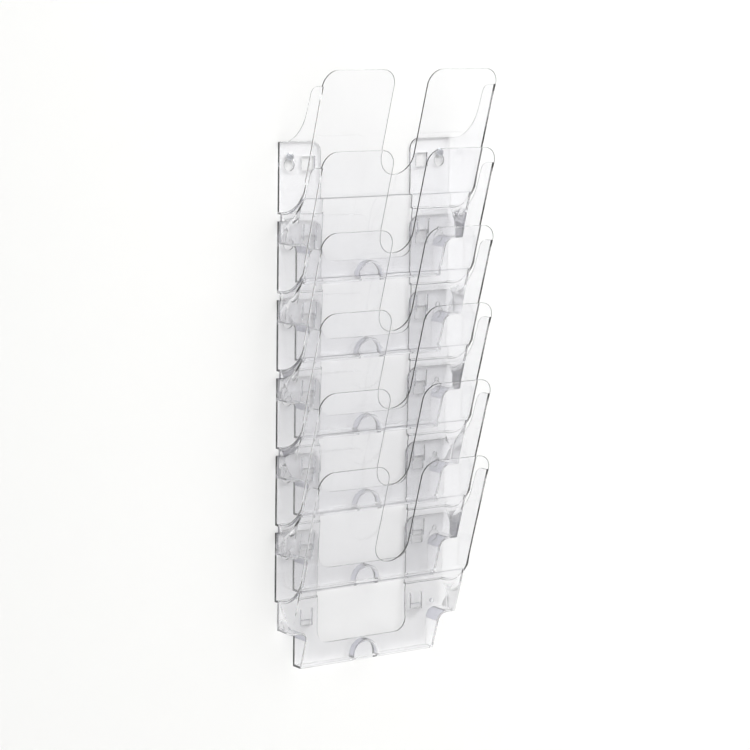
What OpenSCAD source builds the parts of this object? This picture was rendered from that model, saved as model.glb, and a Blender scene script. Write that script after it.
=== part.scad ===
// Wall-mounted magazine rack: six equal clear pockets, each hung on the one above,
// and two wall screws that carry the top pocket.
// +Z is up, +X is to the viewer's right, and the rack faces -Y. The plane Y = 0 is the wall.
// The origin is on the wall, midway between the two screws.

/* [Pocket] */
// Overall width of a pocket
pocket_w = 240; // [200:1:290]
// Overall height of a pocket, floor to wing tops
pocket_h = 245; // [200:1:300]
// Depth of the floor, wall to front
floor_depth = 21.3; // [17:0.1:28]
// Forward lean of the front panel, degrees
lean = 16.86; // [14:0.01:21]
// Wall thickness of the moulding
wall = 2.2; // [1.8:0.1:2.7]

/* [Overlap] */
// How far the next pocket's back plate reaches up behind this one
overlap = 71; // [68:0.5:86]
// Lift that frees a pocket from the one above
lift = 7; // [6:0.5:8.5]
// Room left above a lifted pocket
lift_spare = 1; // [0.5:0.1:2]
// Clearance between nested walls
nest_gap = 0.4; // [0.3:0.05:0.6]

/* [Side wall edge] */
// Rise of the top edge from back plate to ear
edge_rise = 65.5; // [54:0.5:79]
// Level stretch of the top edge next to the wall
edge_flat = 5.5; // [4:0.5:7]
// Radius of the hollow part of the edge
hollow_r = 56; // [46:1:68]
// Radius of the round part of the edge
ear_r = 14; // [11:0.5:17]
// Steepest slope of the edge, degrees
edge_slope = 70; // [58:1:76]

/* [Front panel] */
// Width of the gap between the two wings
gap_w = 46; // [38:1:56]
// Depth of the gap below the wing tops
gap_h = 120.4; // [100:0.2:145]
// Radius of the wing corners
wing_r = 18.5; // [15:0.5:23]

/* [Foot] */
// Distance that the foot steps in on each side
foot_inset = 24.5; // [20:0.5:30]
// Height of the ledges
ledge_z = 45; // [37:0.5:46]
// Fillet between ledge and foot
foot_r = 10; // [8:0.5:12]

/* [Back plate] */
// Width of the flank left on each side of the cut-out
flank_w = 57; // [52:0.5:68]
// Height of the cut-out's lower edge
cut_z = 23.5; // [21.5:0.5:28]
// Radius of the cut-out's lower corners
cut_r = 15; // [12:0.5:18]
// Radius of the flanks' upper inner corners
flank_r = 13; // [10:0.5:15]

/* [Keyholes] */
// Distance of a keyhole from the side of the pocket
key_inset = 16; // [14:0.5:19]
// Distance of a keyhole's neck centre below the back plate's top
key_drop = 17; // [15:0.5:20]
// Half the width of a keyhole's neck
neck_r = 2.8; // [2.4:0.1:3.3]
// Radius of a keyhole's large hole
key_r = 7; // [6:0.1:8]
// Distance between the neck centre and the large hole's centre
key_len = 9.5; // [8.5:0.1:11.4]
// Clearance round a screw or a peg in its neck
peg_gap = 0.3; // [0.3:0.01:0.4]

/* [Snap] */
// Distance of a snap window's centre from the side of the pocket
snap_inset = 41; // [38.5:0.5:43]
// Width and height of a snap window
window_size = 16; // [13:0.5:19]
// Distance of a window's upper edge below the back plate's top
window_drop = 17; // [15:0.5:20]
// Width of the slits round a tongue
slit = 1.2; // [1:0.1:1.5]
// Length of a tongue
tongue_h = 19; // [16:0.5:22]
// Height of a barb
barb_h = 5.2; // [4.5:0.1:6]
// Clearance round a barb in its window
barb_gap = 0.3; // [0.25:0.01:0.4]

/* [Thumb recess] */
// Outer radius of the recess's round top
recess_r = 18; // [15:0.5:21]
// Height of the recess's top above the floor's underside
recess_h = 22.5; // [20:0.5:27]
// Depth of the recess, from the back plate's outer face
recess_depth = 12; // [10:0.5:14]

/* [Screws] */
// Radius of a screw's head
head_r = 4.5; // [4:0.1:5.4]
// Height of a screw's head
head_h = 2.7; // [2.3:0.1:3.3]
// Length of a screw behind the wall's surface
screw_len = 36; // [30:1:44]
// Distance between turns of the thread
thread_pitch = 1.8; // [1.5:0.1:2.2]

/* [Hidden] */
$fn = 96;
far = 400;
slack = 1;

// Nesting: the lower part of a pocket steps in by a wall and a clearance
nest_step = wall + nest_gap;
slant = 1 / cos(lean);

// Side wall edge: hollow arc, straight slope, round arc, ear
ear_z = pocket_h - wing_r;
back_h = ear_z - edge_rise;
slope_len = (edge_rise - (hollow_r + ear_r) * (1 - cos(edge_slope))) / sin(edge_slope);
hollow_y = -edge_flat;
hollow_z = back_h + hollow_r;
round_y = -(edge_flat + (hollow_r + ear_r) * sin(edge_slope) + slope_len * cos(edge_slope));
round_z = ear_z - ear_r;

// Stacking
pitch = back_h - overlap;
step_drop = pitch - lift - lift_spare;
steps = max(1, ceil(back_h / step_drop) - 1);
floor_back = steps * nest_step;

// Front panel
gap_z = pocket_h - gap_h;

// Foot and back plate
foot_half = pocket_w / 2 - foot_inset;
cut_half = pocket_w / 2 - flank_w;

// Keyholes, windows and what goes in them
key_x = pocket_w / 2 - key_inset;
key_z = back_h - key_drop;
pin_r = neck_r - peg_gap;
peg_z = key_z - pitch;
peg_end = wall - 0.1;
snap_x = pocket_w / 2 - snap_inset;
window_top = back_h - window_drop;
tongue_edge = 0.6;
barb_land = 1.2;
barb_top = window_top - pitch - barb_gap;
barb_w = window_size - 2 * slit;
tongue_w = barb_w + 2 * tongue_edge;
tongue_z = barb_top - barb_h;

// Screws
head_gap = 0.3;
dome_r = 9;
slot_w = 1;
slot_len = 5;
slot_depth = 1.6;
groove_depth = 0.55;
groove_w = 1.2;
tip_len = 5;
thread_start = 4;

clear_plastic = [0.87, 0.89, 0.92, 0.45];
zinc = [0.75, 0.76, 0.78];

// A side view, Y to the right and Z up, drawn out to a width along X
module along_x(width) {
    rotate([90, 0, 90]) linear_extrude(width, center = true) children();
}

// A front view, X to the right and Z up, drawn out along Y from the plane y0 to y1
module along_y(y0, y1) {
    translate([0, y1, 0]) rotate([90, 0, 0]) linear_extrude(y1 - y0) children();
}

// The same thing on the left and on the right
module both_sides() {
    children();
    mirror([1, 0, 0]) children();
}

// Y of the front panel's outer face at height z
function front_y(z) = -(floor_depth + z * tan(lean));

// Point of an arc about (y, z) at angle a from straight down, towards the front
function arc_point(y, z, r, a) = [y - r * sin(a), z - r * cos(a)];

// Side view of everything under the top edge, offset outwards by e and lowered by drop
module under_edge(e, drop) {
    translate([0, -drop]) {
        difference() {
            polygon([
                [slack, -far], [slack, back_h + e], [hollow_y, back_h + e],
                arc_point(hollow_y, hollow_z, hollow_r - e, edge_slope),
                arc_point(round_y, round_z, -(ear_r + e), edge_slope),
                [round_y, ear_z + e], [-far, ear_z + e], [-far, -far],
            ]);
            translate([hollow_y, hollow_z]) circle(hollow_r - e);
        }
        translate([round_y, round_z]) circle(ear_r + e);
    }
}

// Side view of the room between back and front faces that are e inside the outline
module between_faces(back, e, top) {
    polygon([
        [-back, -slack], [-back, top],
        [front_y(top) + e * slant, top], [front_y(-slack) + e * slant, -slack],
    ]);
}

// Front view of ledges and foot, e inside the outline
module foot_view(e, top) {
    translate([-pocket_w / 2, ledge_z + e]) square([pocket_w, top]);
    translate([-foot_half + e, e]) square([2 * (foot_half - e), ledge_z]);
    for (side = [-1, 1]) scale([side, 1]) difference() {
        translate([foot_half - e, ledge_z - foot_r]) square([foot_r + e, foot_r + e]);
        translate([foot_half + foot_r, ledge_z - foot_r]) circle(foot_r + e);
    }
}

// The filled pocket, with every face e inside the outline. It steps in once for each plate that stands behind it
module body(e, top) {
    intersection() {
        along_y(-far, slack) foot_view(e, top);
        for (n = [0:steps]) along_x(pocket_w - 2 * (n * nest_step + e)) difference() {
            between_faces(n * nest_step + e, min(n, 1) * nest_step + e, top);
            if (n < steps) under_edge(e, (n + 1) * step_drop);
        }
    }
}

// What is cut away above the side walls and the back plate, behind the front panel
module above_walls() {
    along_x(pocket_w + 2 * slack) difference() {
        translate([0, back_h - slack]) polygon([
            [slack, 0], [slack, far],
            [front_y(back_h - slack + far) + wall * slant, far],
            [front_y(back_h - slack) + wall * slant, 0],
        ]);
        under_edge(0, 0);
    }
}

// A square corner less its rounding, in the quarter towards +X +Z
module corner(r) {
    difference() {
        square(r + slack);
        circle(r);
    }
}

// Front view of what is cut from the panel to leave two wings
module wing_cuts() {
    for (side = [-1, 1]) scale([side, 1]) {
        translate([pocket_w / 2 - wing_r, ear_z]) corner(wing_r);
        translate([gap_w / 2 + wing_r, ear_z]) mirror([1, 0]) corner(wing_r);
    }
    translate([-gap_w / 2, gap_z + gap_w / 2]) square([gap_w, gap_h]);
    translate([0, gap_z + gap_w / 2]) circle(gap_w / 2);
}

// Front view of the back plate's cut-out
module back_cut() {
    translate([-cut_half, cut_z + cut_r]) square([2 * cut_half, far]);
    translate([-cut_half + cut_r, cut_z]) square([2 * (cut_half - cut_r), far]);
    for (side = [-1, 1]) scale([side, 1]) {
        translate([cut_half - cut_r, cut_z + cut_r]) circle(cut_r);
        translate([cut_half + flank_r, back_h - flank_r]) mirror([1, 0]) corner(flank_r);
    }
}

// Front view of a keyhole and a snap window
module plate_holes() {
    translate([key_x, key_z]) circle(neck_r);
    translate([key_x - neck_r, key_z - key_len]) square([2 * neck_r, key_len]);
    translate([key_x, key_z - key_len]) circle(key_r);
    translate([snap_x - window_size / 2, window_top - window_size]) square(window_size);
}

// Front view of the slits that free a snap tongue on three sides
module tongue_slits() {
    translate([snap_x - tongue_w / 2 - slit, tongue_z - slit]) difference() {
        square([tongue_w + 2 * slit, tongue_h + slit]);
        translate([slit, slit]) square([tongue_w, tongue_h]);
    }
}

// Barb on a tongue: flat on top, sloping away below
module barb() {
    translate([snap_x, 0, 0]) along_x(barb_w) polygon([
        [-nest_step - wall / 2, barb_top], [-nest_step + peg_end, barb_top],
        [-nest_step + peg_end, barb_top - barb_land], [-nest_step, tongue_z], [-nest_step - wall / 2, tongue_z],
    ]);
}

// Peg that enters the next pocket's keyhole
module peg() {
    translate([key_x, -nest_step - wall / 2, peg_z]) rotate([-90, 0, 0]) cylinder(r = pin_r, h = wall / 2 + peg_end);
}

// Recess with a half-round top in floor and back, e inside its outline, from height z0 and back to y1
module recess(e, z0, y1) {
    along_y(-floor_back - recess_depth + e, y1) intersection() {
        union() {
            translate([0, recess_h - recess_r]) circle(recess_r - e);
            translate([e - recess_r, -far]) square([2 * (recess_r - e), far + recess_h - recess_r]);
        }
        translate([-recess_r, z0]) square([2 * recess_r, recess_h - z0]);
    }
}

// One pocket, with its floor at Z = 0
module pocket() {
    color(clear_plastic) {
        difference() {
            union() {
                difference() {
                    body(0, pocket_h);
                    body(wall, pocket_h + slack);
                }
                recess(0, 0, -floor_back);
            }
            recess(wall, -slack, slack);
            above_walls();
            along_y(-far, slack) wing_cuts();
            along_y(-floor_back - wall - slack, slack) back_cut();
            both_sides() along_y(-wall - slack / 2, slack) plate_holes();
            both_sides() along_y(-nest_step - wall - slack, slack) tongue_slits();
        }
        both_sides() barb();
        both_sides() peg();
    }
}

// The pocket at a place in the stack, 1 at the top
module stacked_pocket(place) {
    translate([0, 0, -key_z - (place - 1) * pitch]) pocket();
}

// Wood screw along Y, its head in front of the back plate
module screw() {
    color(zinc) rotate([-90, 0, 0]) difference() {
        union() {
            translate([0, 0, -wall - head_gap - head_h]) intersection() {
                cylinder(r = head_r, h = head_h);
                translate([0, 0, dome_r]) sphere(dome_r);
            }
            translate([0, 0, -wall - head_gap]) cylinder(r = pin_r, h = wall + head_gap + screw_len - tip_len);
            translate([0, 0, screw_len - tip_len]) cylinder(r1 = pin_r, r2 = 0.2, h = tip_len, $fn = 48);
        }
        translate([0, 0, -wall - head_gap - head_h]) for (turn = [0, 90]) rotate(turn)
            translate([-slot_len / 2, -slot_w / 2, -slack]) cube([slot_len, slot_w, slack + slot_depth]);
        for (z = [thread_start:thread_pitch:screw_len - tip_len - groove_w]) rotate_extrude()
            polygon([[pin_r + slack, z - groove_w], [pin_r + slack, z + 2 * groove_w], [pin_r, z + groove_w],
                     [pin_r - groove_depth, z + groove_w / 2], [pin_r, z]]);
    }
}

stacked_pocket(1);  // pocket_1
stacked_pocket(2);  // pocket_2
stacked_pocket(3);  // pocket_3
stacked_pocket(4);  // pocket_4
stacked_pocket(5);  // pocket_5
stacked_pocket(6);  // pocket_6
translate([-key_x, 0, 0]) screw();  // screw_left
translate([key_x, 0, 0]) screw();  // screw_right
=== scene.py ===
"""Wall magazine rack: six pockets of clear plastic, each hung on the one above, and two wall screws.

Everything is in metres. +Z is up, +X is to the viewer's right, the pockets face -Y, and the wall is
the plane Y = 0.
"""

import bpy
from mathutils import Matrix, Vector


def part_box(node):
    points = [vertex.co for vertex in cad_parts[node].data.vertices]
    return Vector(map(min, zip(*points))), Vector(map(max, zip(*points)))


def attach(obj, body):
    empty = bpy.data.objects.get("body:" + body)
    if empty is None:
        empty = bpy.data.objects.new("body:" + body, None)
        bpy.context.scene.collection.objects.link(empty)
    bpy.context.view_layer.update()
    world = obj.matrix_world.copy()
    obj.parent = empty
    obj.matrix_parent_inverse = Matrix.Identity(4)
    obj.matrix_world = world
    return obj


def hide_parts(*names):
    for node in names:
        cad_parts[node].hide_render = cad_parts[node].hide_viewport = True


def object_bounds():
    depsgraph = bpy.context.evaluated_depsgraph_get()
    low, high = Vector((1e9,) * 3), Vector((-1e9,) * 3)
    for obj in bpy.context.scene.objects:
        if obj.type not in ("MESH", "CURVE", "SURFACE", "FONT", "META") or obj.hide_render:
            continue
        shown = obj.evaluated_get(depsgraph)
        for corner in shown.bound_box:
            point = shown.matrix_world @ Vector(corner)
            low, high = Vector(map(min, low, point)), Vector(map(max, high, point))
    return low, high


bl_info = {
    "name": "Wall Magazine Rack",
    "version": (1, 0, 0),
    "blender": (4, 5, 0),
    "location": "3D View > Sidebar > Rack",
    "description": "Finishes the pockets and screws of a clear wall magazine rack and sets up its stage",
    "category": "Object",
}

import math

import bmesh
import bpy
import numpy as np
from bpy.props import FloatProperty, FloatVectorProperty, PointerProperty, StringProperty
from mathutils import Matrix, Vector

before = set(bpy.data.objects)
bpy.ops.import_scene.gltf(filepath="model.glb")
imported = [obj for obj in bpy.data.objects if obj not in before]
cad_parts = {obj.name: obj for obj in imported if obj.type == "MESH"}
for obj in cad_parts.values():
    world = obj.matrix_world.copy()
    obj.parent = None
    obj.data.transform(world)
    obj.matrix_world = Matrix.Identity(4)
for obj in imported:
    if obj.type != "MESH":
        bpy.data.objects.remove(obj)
CAD_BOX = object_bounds()

POCKETS = sorted(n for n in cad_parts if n.startswith("pocket_"))
SCREWS = sorted(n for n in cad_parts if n.startswith("screw_"))
MM = 0.001

# Material slots of a pocket: broad faces, and narrow faces whose darker tint is painted shade for the dark
# lines along the sheet's edges
BROAD, SHADED_RIM = 0, 1

# Least and greatest value that a noise texture takes over most of a surface
NOISE_LOW, NOISE_HIGH = 0.3, 0.7

# A CAD mesh is made whole with these: points that are one point, slivers, and faces that lie in one plane
SAME_POINT = 0.001 * MM
SLIVER = 0.005 * MM
SAME_PLANE = math.radians(0.05)

# Places on a pocket. X is measured from its middle, Z from its lowest point, and Y from the wall.
STEP_X = (114 * MM, 119 * MM)
STEP_Z = (20 * MM, 120 * MM)
STEP_LENGTH = 30 * MM
HOOK_X = 68 * MM
HOOK_Y = -6.5 * MM
PEGS_AND_TONGUES_Z = (45.5 * MM, 70.5 * MM)
KEYHOLES_AND_WINDOWS_Z = (122 * MM, 152 * MM)
RECESS_X = 18.5 * MM
RECESS_RIM_Y = -14.6 * MM
RECESS_LOW_Z = 0.5 * MM
BEND_Y = -3 * MM
AT_SIDE = 0.5 * MM
SAME_DEPTH = 0.02 * MM

# Least part of a side's normal along X and of a front's normal towards -Y
SIDEWAYS = 0.9
FORWARDS = 0.8

SHORTEST_ROUNDED = 0.2 * MM
SHORTEST_BEND = 50 * MM
EASE_LENGTH = 4 * MM
EASE_SHARES = (0.45, 0.65, 0.85)
COVE_POINTS = 25


def linear(code):
    """Scene-linear RGBA of an sRGB hex value such as #E8EAF0."""
    parts = [int(code.lstrip("#")[i : i + 2], 16) / 255 for i in (0, 2, 4)]
    return [c / 12.92 if c <= 0.04045 else ((c + 0.055) / 1.055) ** 2.4 for c in parts] + [1.0]


def add_node(tree, kind, links=(), **settings):
    """Adds a node, sets its attributes and sockets by name, and makes its links, each a pair of an input's name
    or number and the socket that feeds it."""
    node = tree.nodes.new(kind)
    for key, value in settings.items():
        name = key.replace("_", " ")
        if hasattr(node, key):
            setattr(node, key, value)
        else:
            node.inputs[name].default_value = value
    for name, socket in links:
        tree.links.new(socket, node.inputs[name])
    return node


def new_material(name):
    """An empty node material and its tree."""
    material = bpy.data.materials.new(name)
    material.use_nodes = True
    material.node_tree.nodes.clear()
    return material, material.node_tree


def moulded_clear_polystyrene(p, name, surface_colour):
    """Injection moulded crystal polystyrene with a polished surface: high gloss, thick parts that look smoky
    because light travels a long way inside them, and a faint waviness left by the mould. Shadow rays go
    straight through with a slight tint, so that the wall behind is lit as behind real clear sheet."""
    material, tree = new_material(name)
    place = add_node(tree, "ShaderNodeTexCoord").outputs["Object"]
    wave = add_node(
        tree,
        "ShaderNodeTexNoise",
        [("Vector", place)],
        Scale=1 / p.wave_size,
        Detail=1.0,
        Roughness=0.4,
    )
    bump = add_node(
        tree,
        "ShaderNodeBump",
        [("Height", wave.outputs["Fac"])],
        Strength=1.0,
        Distance=p.wave_depth,
    )
    haze = add_node(
        tree,
        "ShaderNodeTexNoise",
        [("Vector", place)],
        Scale=1 / p.haze_size,
        Detail=3.0,
        Roughness=0.6,
    )
    rough = add_node(
        tree,
        "ShaderNodeMapRange",
        [("Value", haze.outputs["Fac"])],
        From_Min=NOISE_LOW,
        From_Max=NOISE_HIGH,
        To_Min=p.roughness,
        To_Max=2 * p.roughness,
    )
    # Base colour: the plastic's own faint tint on broad faces; in the rim material it is a darker violet tint,
    # painted shade for the dark edge lines
    gloss = add_node(
        tree,
        "ShaderNodeBsdfPrincipled",
        [("Normal", bump.outputs["Normal"]), ("Roughness", rough.outputs["Result"])],
        IOR=1.59,
        Base_Color=linear(surface_colour),
        Transmission_Weight=1.0,
    )
    shade = add_node(tree, "ShaderNodeBsdfTransparent", Color=linear(p.shadow_colour))
    shadow = add_node(tree, "ShaderNodeLightPath").outputs["Is Shadow Ray"]
    mix = add_node(
        tree,
        "ShaderNodeMixShader",
        [("Fac", shadow), (1, gloss.outputs[0]), (2, shade.outputs[0])],
    )
    smoke = add_node(tree, "ShaderNodeVolumeAbsorption", Density=p.density, Color=linear(p.depth_colour))
    add_node(tree, "ShaderNodeOutputMaterial", [("Surface", mix.outputs[0]), ("Volume", smoke.outputs[0])])
    return material


def bright_zinc_plate(p):
    """Bright zinc on turned steel: a cool grey metal with fine turning marks."""
    material, tree = new_material("bright_zinc_plate")
    place = add_node(tree, "ShaderNodeTexCoord").outputs["Object"]
    grain = add_node(
        tree,
        "ShaderNodeTexNoise",
        [("Vector", place)],
        Scale=1 / p.grain_size,
        Detail=4.0,
        Roughness=0.6,
    )
    rough = add_node(tree, "ShaderNodeMapRange", [("Value", grain.outputs["Fac"])], To_Min=0.16, To_Max=0.34)
    bump = add_node(
        tree,
        "ShaderNodeBump",
        [("Height", grain.outputs["Fac"])],
        Strength=0.4,
        Distance=p.grain_depth,
    )
    metal = add_node(
        tree,
        "ShaderNodeBsdfPrincipled",
        [("Roughness", rough.outputs["Result"]), ("Normal", bump.outputs["Normal"])],
        Metallic=1.0,
        Base_Color=linear(p.zinc_colour),
    )
    add_node(tree, "ShaderNodeOutputMaterial", [("Surface", metal.outputs[0])])
    return material


def matt_white_paint(p):
    """Matt white wall paint, rolled on, which has no gloss. Its reverse lets everything through, so that the
    rack can be looked at from behind."""
    material, tree = new_material("matt_white_paint")
    paint = add_node(tree, "ShaderNodeBsdfDiffuse", Roughness=0.6, Color=linear(p.wall_colour))
    clear = add_node(tree, "ShaderNodeBsdfTransparent")
    reverse = add_node(tree, "ShaderNodeNewGeometry").outputs["Backfacing"]
    mix = add_node(
        tree,
        "ShaderNodeMixShader",
        [("Fac", reverse), (1, paint.outputs[0]), (2, clear.outputs[0])],
    )
    add_node(tree, "ShaderNodeOutputMaterial", [("Surface", mix.outputs[0])])
    return material


class PocketSettings(bpy.types.PropertyGroup):
    edge_radius: FloatProperty(
        name="Edge radius",
        description="Rounding of the moulding's other edges",
        default=0.55 * MM,
        subtype="DISTANCE",
        unit="LENGTH",
    )
    bend_radius: FloatProperty(
        name="Bend radius",
        description="Rounding of the front bends and of the thumb recess's front rim",
        default=1.7 * MM,
        subtype="DISTANCE",
        unit="LENGTH",
    )
    sharp_angle: FloatProperty(
        name="Sharp angle",
        description="Edges bent by more than this are rounded",
        default=math.radians(30),
        subtype="ANGLE",
    )
    wave_size: FloatProperty(
        name="Wave size",
        description="Distance between the waves that the mould leaves",
        default=45 * MM,
        unit="LENGTH",
    )
    wave_depth: FloatProperty(
        name="Wave depth",
        description="Height of the waves",
        default=0.04 * MM,
        precision=5,
        unit="LENGTH",
    )
    haze_size: FloatProperty(
        name="Haze size",
        description="Distance between glossier and duller patches of the plastic",
        default=6 * MM,
        unit="LENGTH",
    )
    roughness: FloatProperty(
        name="Roughness",
        description="Least roughness of the polished plastic",
        default=0.02,
    )
    density: FloatProperty(
        name="Density",
        description="Absorption inside the plastic, per metre",
        default=5.0,
    )
    surface_colour: StringProperty(
        name="Surface colour",
        description="Tint of the plastic's broad faces",
        default="#FBFBFC",
    )
    # Darker violet tint painted on the narrow faces: painted shade standing in for the dark lines that
    # refraction gives along the sheet's edges
    rim_painted_shade_colour: StringProperty(
        name="Rim colour",
        description="Tint of the sheet's narrow edges",
        default="#D2D2DC",
    )
    # Faces narrower than this get the painted rim shade
    painted_shade_rim_width: FloatProperty(
        name="Rim width",
        description="Faces narrower than this on average get the rim's tint",
        default=2.3 * MM,
        unit="LENGTH",
    )
    depth_colour: StringProperty(
        name="Depth colour",
        description="Tint of light that has passed through a lot of plastic",
        default="#9C9AA6",
    )
    shadow_colour: StringProperty(
        name="Shadow colour",
        description="What one surface lets through to the wall",
        default="#F9F9F9",
    )


class ScrewSettings(bpy.types.PropertyGroup):
    zinc_colour: StringProperty(
        name="Zinc colour",
        description="Colour of the plating",
        default="#C6C9CE",
    )
    grain_size: FloatProperty(
        name="Grain size",
        description="Distance between turning marks",
        default=0.8 * MM,
        unit="LENGTH",
    )
    grain_depth: FloatProperty(
        name="Grain depth",
        description="Depth of the turning marks",
        default=0.02 * MM,
        precision=5,
        unit="LENGTH",
    )


class StageSettings(bpy.types.PropertyGroup):
    wall_colour: StringProperty(
        name="Wall colour",
        description="Colour of wall and floor",
        default="#F4F4F3",
    )
    wall_gap: FloatProperty(
        name="Wall gap",
        description="Room between the wall and the back plates",
        default=0.5 * MM,
        unit="LENGTH",
    )
    wall_half: FloatProperty(
        name="Wall half size",
        description="Half the width of the wall",
        default=3.5,
        unit="LENGTH",
    )
    floor_z: FloatProperty(
        name="Floor height",
        description="Height of the floor",
        default=-2.0,
        unit="LENGTH",
    )
    cove: FloatProperty(
        name="Cove radius",
        description="Radius of the curve between wall and floor",
        default=0.5,
        unit="LENGTH",
    )
    azimuth: FloatProperty(
        name="Azimuth",
        description="Camera's direction round the rack",
        default=math.radians(-34.625),
        subtype="ANGLE",
    )
    elevation: FloatProperty(
        name="Elevation",
        description="Camera's height above the horizon",
        default=math.radians(7.839),
        subtype="ANGLE",
    )
    roll: FloatProperty(
        name="Roll",
        description="Camera's turn about its own axis",
        default=math.radians(0.665),
        subtype="ANGLE",
    )
    distance: FloatProperty(
        name="Distance",
        description="Camera to aim point",
        default=3.0096,
        unit="LENGTH",
    )
    aim: FloatVectorProperty(
        name="Aim",
        description="Point that the camera looks at",
        default=(-0.0472, -0.05, -0.2089),
        subtype="XYZ",
    )
    lens: FloatProperty(
        name="Lens",
        description="Focal length in millimetres",
        default=126.58,
        unit="CAMERA",
    )
    shift_x: FloatProperty(
        name="Shift X",
        description="Sideways lens shift",
        default=0.02846,
    )
    shift_y: FloatProperty(
        name="Shift Y",
        description="Upward lens shift",
        default=-0.04552,
    )
    sky_low: FloatProperty(
        name="Low room light",
        description="Brightness of the room towards the floor",
        default=0.1,
    )
    sky_high: FloatProperty(
        name="High room light",
        description="Brightness of the room towards the ceiling",
        default=1.06,
    )
    key_from: FloatVectorProperty(
        name="Key direction",
        description="Where the key light stands",
        default=(0.6, -0.7, 1.0),
        subtype="XYZ",
    )
    key_distance: FloatProperty(
        name="Key distance",
        description="Key light to the middle of the rack",
        default=2.6,
        unit="LENGTH",
    )
    key_size: FloatProperty(
        name="Key size",
        description="Diameter of the round key light",
        default=2.0,
        unit="LENGTH",
    )
    key_power: FloatProperty(
        name="Key power",
        description="Power of the key light in watts",
        default=57.0,
        unit="POWER",
    )
    box_from: FloatVectorProperty(
        name="Softbox direction",
        description="Where the softbox stands",
        default=(-0.363, -0.495, 0.79),
        subtype="XYZ",
    )
    box_distance: FloatProperty(
        name="Softbox distance",
        description="Softbox to the middle of the rack",
        default=2.0,
        unit="LENGTH",
    )
    box_size: FloatProperty(
        name="Softbox size",
        description="Side of the square softbox",
        default=0.8,
        unit="LENGTH",
    )
    box_power: FloatProperty(
        name="Softbox power",
        description="Power of the softbox in watts",
        default=9.0,
        unit="POWER",
    )


def finished_mesh(node, p):
    """A merged copy of a CAD node's mesh with its flat faces whole again. Each sharp edge has a bevel weight,
    the share of bend_radius that its rounding gets. Narrow faces get the rim material, whose darker tint is
    painted shade standing in for the dark lines that refraction gives along the sheet's edges."""
    bm = bmesh.new()
    bm.from_mesh(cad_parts[node].data)
    bmesh.ops.remove_doubles(bm, verts=bm.verts, dist=SAME_POINT)
    bmesh.ops.dissolve_degenerate(bm, dist=SLIVER, edges=bm.edges)
    bmesh.ops.dissolve_limit(bm, angle_limit=SAME_PLANE, verts=bm.verts, edges=bm.edges)
    layer = bm.edges.layers.float.new("bevel_weight_edge")
    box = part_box(node)
    low, half = box[0], (box[1].x - box[0].x) / 2
    ordinary = p.edge_radius / p.bend_radius
    for e in bm.edges:
        if len(e.link_faces) == 2 and e.calc_face_angle(0) >= p.sharp_angle:
            e[layer] = edge_share(e, low, half, ordinary)
            e.smooth = e[layer] > 0
    for e in [e for e in bm.edges if is_bend(e, low, half)]:
        ease_bend(e, layer, ordinary)
    for face in bm.faces:
        mean_width = 2 * face.calc_area() / face.calc_perimeter()
        # Narrow faces get the rim material, a darker tint that is painted shade for the dark edge lines
        face.material_index = SHADED_RIM if mean_width < p.painted_shade_rim_width else BROAD
    mesh = bpy.data.meshes.new(node + "_finished")
    bm.to_mesh(mesh)
    bm.free()
    return mesh


def between(value, limits):
    return limits[0] < value < limits[1]


def edge_share(e, low, half, ordinary):
    """Share of the rounding that a sharp edge gets: none on very short edges, on the upright edges of the
    stepped sides and among the small parts of the hooks, all of it on the recess's front rim, and the
    ordinary share elsewhere."""
    a, b = (v.co - low for v in e.verts)
    middle = (a + b) / 2
    x, z = abs(middle.x - half), middle.z
    on_step = between(x, STEP_X) and between(z, STEP_Z) and abs(a.z - b.z) > STEP_LENGTH
    at_hook_height = between(z, PEGS_AND_TONGUES_Z) or between(z, KEYHOLES_AND_WINDOWS_Z)
    on_hook = x > HOOK_X and at_hook_height and e.verts[0].co.y > HOOK_Y
    if e.calc_length() < SHORTEST_ROUNDED or on_step or on_hook:
        return 0.0
    at_rim = all(abs(v.co.y - RECESS_RIM_Y) < SAME_DEPTH for v in e.verts)
    if x < RECESS_X and at_rim and z > RECESS_LOW_Z:
        return 1.0
    return ordinary


def is_bend(e, low, half):
    """Whether an edge is the long outer corner between a pocket's front and its side."""
    if len(e.link_faces) != 2 or not e.is_convex or e.calc_length() < SHORTEST_BEND:
        return False
    outside = abs(e.verts[0].co.x - low.x - half) > half - AT_SIDE
    before_wall = all(v.co.y <= BEND_Y for v in e.verts)
    normals = [f.normal for f in e.link_faces]
    has_side = max(abs(n.x) for n in normals) > SIDEWAYS
    has_front = max(-n.y for n in normals) > FORWARDS
    return outside and before_wall and has_side and has_front


def ease_bend(e, layer, ordinary):
    """Full rounding along a bend, and less of it in equal steps of length towards both ends."""
    length = e.calc_length()
    first_cuts = [EASE_LENGTH * (i + 1) for i in range(len(EASE_SHARES) + 1)]
    cuts = first_cuts + [length - cut for cut in reversed(first_cuts)]
    shares = [ordinary, *EASE_SHARES, 1.0, *reversed(EASE_SHARES)]
    start, done = e.verts[0], 0.0
    for cut, share in zip(cuts, shares):
        vert = bmesh.utils.edge_split(e, start, (cut - done) / (length - done))[1]
        near = next(k for k in vert.link_edges if start in k.verts)
        e = next(k for k in vert.link_edges if k is not near)
        near[layer] = share
        start, done = vert, cut
    e[layer] = ordinary


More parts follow.
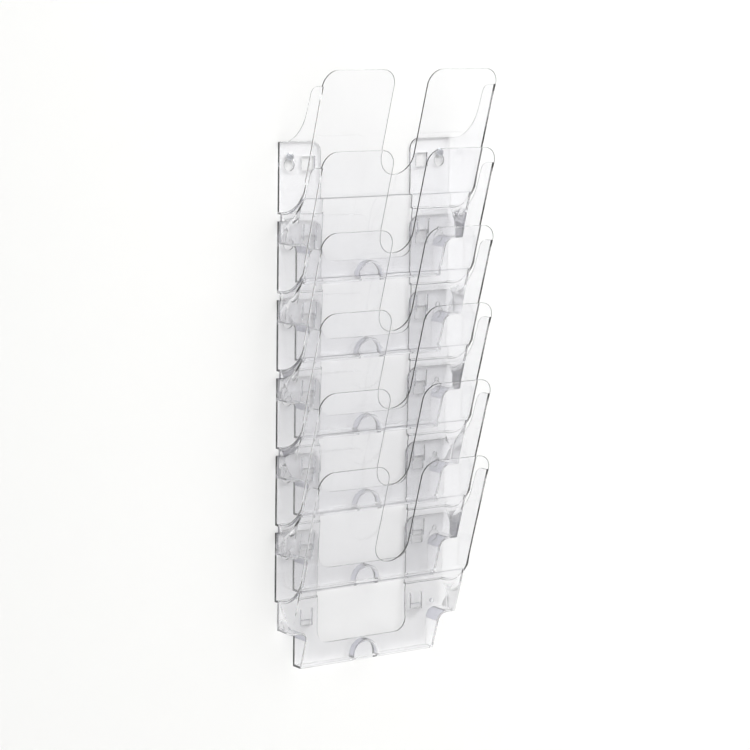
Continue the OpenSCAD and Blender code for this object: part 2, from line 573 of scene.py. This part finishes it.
class RACK_OT_pockets(bpy.types.Operator):
    """Make the six clear pockets"""

    bl_idname = "rack.pockets"
    bl_label = "Make pockets"

    def execute(self, context):
        p = context.scene.rack_pockets
        sheet = moulded_clear_polystyrene(p, "moulded_clear_polystyrene", p.surface_colour)
        # Rim material: a darker tint painted on narrow faces as painted shade for the dark edge lines
        rim = moulded_clear_polystyrene(p, "polystyrene_rim_painted_shade", p.rim_painted_shade_colour)
        for name in POCKETS:
            piece = bpy.data.objects.new(name + "_moulding", finished_mesh(name, p))
            context.scene.collection.objects.link(piece)
            piece.data.materials.append(sheet)
            piece.data.materials.append(rim)
            piece.data.shade_smooth()
            bevel = piece.modifiers.new("edge rounding", "BEVEL")
            bevel.limit_method = "WEIGHT"
            bevel.width = p.bend_radius
            bevel.segments = 2
            bevel.use_clamp_overlap = False
            bevel.loop_slide = False
            normals = piece.modifiers.new("flat faces", "WEIGHTED_NORMAL")
            normals.keep_sharp = True
            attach(piece, name)
            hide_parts(name)
        return {"FINISHED"}


class RACK_OT_screws(bpy.types.Operator):
    """Give the two wall screws their bright zinc finish"""

    bl_idname = "rack.screws"
    bl_label = "Finish screws"

    def execute(self, context):
        zinc = bright_zinc_plate(context.scene.rack_screws)
        for name in SCREWS:
            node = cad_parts[name]
            for slot in node.material_slots:
                slot.material = zinc
        return {"FINISHED"}


class RACK_OT_stage(bpy.types.Operator):
    """Set up the wall, the floor, the lights and the camera"""

    bl_idname = "rack.stage"
    bl_label = "Set up stage"

    def execute(self, context):
        s = context.scene.rack_stage
        scene = context.scene
        wall = bpy.data.objects.new("wall_and_floor", sweep(s))
        wall.data.materials.append(matt_white_paint(s))
        scene.collection.objects.link(wall)
        world = bpy.data.worlds.new("soft_room")
        world.use_nodes = True
        room_light(world.node_tree, s)
        scene.world = world
        disc = bpy.data.lights.new("key_light", "AREA")
        disc.shape = "DISK"
        disc.size = s.key_size
        disc.energy = s.key_power
        key = add_lamp(scene, disc, Vector(s.key_from).normalized() * s.key_distance)
        key.visible_transmission = False
        square = bpy.data.lights.new("softbox", "AREA")
        square.size = s.box_size
        square.energy = s.box_power
        softbox = add_lamp(scene, square, Vector(s.box_from).normalized() * s.box_distance)
        softbox.visible_diffuse = False
        add_camera(scene, s)
        scene.view_settings.view_transform = "Standard"
        # Light crosses many surfaces in a row where pockets overlap
        scene.cycles.max_bounces = 64
        scene.cycles.transmission_bounces = 64
        scene.cycles.transparent_max_bounces = 96
        scene.cycles.glossy_bounces = 8
        scene.cycles.diffuse_bounces = 3
        return {"FINISHED"}


def sweep(s):
    """Mesh of the wall and floor: a straight wall, a quarter circle and a straight floor, carried along X."""
    half, gap, r = s.wall_half, s.wall_gap, s.cove
    turn = np.linspace(0, math.pi / 2, COVE_POINTS)
    y = np.concatenate([[gap], gap - r + r * np.cos(turn), [gap - 2 * half]])
    z = np.concatenate([[half], s.floor_z + r - r * np.sin(turn), [s.floor_z]])
    rows = np.stack([y, z], 1)
    n = len(rows)
    co = np.zeros((2, n, 3))
    co[:, :, 1:] = rows
    co[0, :, 0], co[1, :, 0] = -half, half
    i = np.arange(n - 1)
    faces = np.stack([i, i + 1, i + 1 + n, i + n], 1)
    mesh = bpy.data.meshes.new("wall_and_floor")
    mesh.from_pydata(co.reshape(-1, 3).tolist(), [], faces.tolist())
    mesh.shade_smooth()
    mesh.update()
    return mesh


def room_light(tree, s):
    """A soft room: its brightness goes smoothly from the floor's value to the ceiling's with height."""
    tree.nodes.clear()
    place = add_node(tree, "ShaderNodeTexCoord").outputs["Generated"]
    split = add_node(tree, "ShaderNodeSeparateXYZ", [("Vector", place)])
    level = add_node(
        tree,
        "ShaderNodeMapRange",
        [("Value", split.outputs["Z"])],
        interpolation_type="SMOOTHSTEP",
        From_Min=-1.0,
        From_Max=1.0,
        To_Min=s.sky_low,
        To_Max=s.sky_high,
    )
    room = add_node(
        tree,
        "ShaderNodeBackground",
        [("Strength", level.outputs["Result"])],
        Color=linear("#FFFFFF"),
    )
    add_node(tree, "ShaderNodeOutputWorld", [("Surface", room.outputs[0])])


def add_lamp(scene, data, place):
    """A lamp at a place, turned towards the middle of the rack."""
    lamp = bpy.data.objects.new(data.name, data)
    middle = (CAD_BOX[0] + CAD_BOX[1]) / 2
    lamp.location = middle + place
    lamp.rotation_euler = (-place).to_track_quat("-Z", "Y").to_euler()
    scene.collection.objects.link(lamp)
    return lamp


def add_camera(scene, s):
    """A camera that looks at the aim point from an azimuth, an elevation and a distance, turned by a roll."""
    level = math.cos(s.elevation)
    back = Vector((math.sin(s.azimuth) * level, -math.cos(s.azimuth) * level, math.sin(s.elevation)))
    right = (-back).cross(Vector((0, 0, 1))).normalized()
    up = back.cross(right)
    turned_right = right * math.cos(s.roll) + up * math.sin(s.roll)
    turned_up = -right * math.sin(s.roll) + up * math.cos(s.roll)
    data = bpy.data.cameras.new("camera")
    data.lens = s.lens
    data.shift_x = s.shift_x
    data.shift_y = s.shift_y
    camera = bpy.data.objects.new("camera", data)
    turn = Matrix((turned_right, turned_up, back)).transposed().to_4x4()
    camera.matrix_world = Matrix.Translation(Vector(s.aim) + back * s.distance) @ turn
    scene.collection.objects.link(camera)
    scene.camera = camera


class RACK_PT_panel(bpy.types.Panel):
    """Sizes, colours and buttons of the rack"""

    bl_label = "Magazine rack"
    bl_idname = "RACK_PT_panel"
    bl_space_type = "VIEW_3D"
    bl_region_type = "UI"
    bl_category = "Rack"

    def draw(self, context):
        for label, group, operator in PARTS:
            box = self.layout.box()
            box.label(text=label)
            box.operator(operator)
            settings = getattr(context.scene, group)
            for key in settings.__annotations__:
                box.prop(settings, key)


PARTS = (
    ("Pockets", "rack_pockets", "rack.pockets"),
    ("Screws", "rack_screws", "rack.screws"),
    ("Stage", "rack_stage", "rack.stage"),
)
GROUPS = {"rack_pockets": PocketSettings, "rack_screws": ScrewSettings, "rack_stage": StageSettings}
CLASSES = (*GROUPS.values(), RACK_OT_pockets, RACK_OT_screws, RACK_OT_stage, RACK_PT_panel)


def register():
    for cls in CLASSES:
        bpy.utils.register_class(cls)
    for name, group in GROUPS.items():
        setattr(bpy.types.Scene, name, PointerProperty(type=group))


def unregister():
    for name in GROUPS:
        delattr(bpy.types.Scene, name)
    for cls in reversed(CLASSES):
        bpy.utils.unregister_class(cls)


def main():
    register()
    bpy.ops.rack.stage()
    bpy.ops.rack.pockets()
    bpy.ops.rack.screws()


if __name__ == "__main__":
    main()
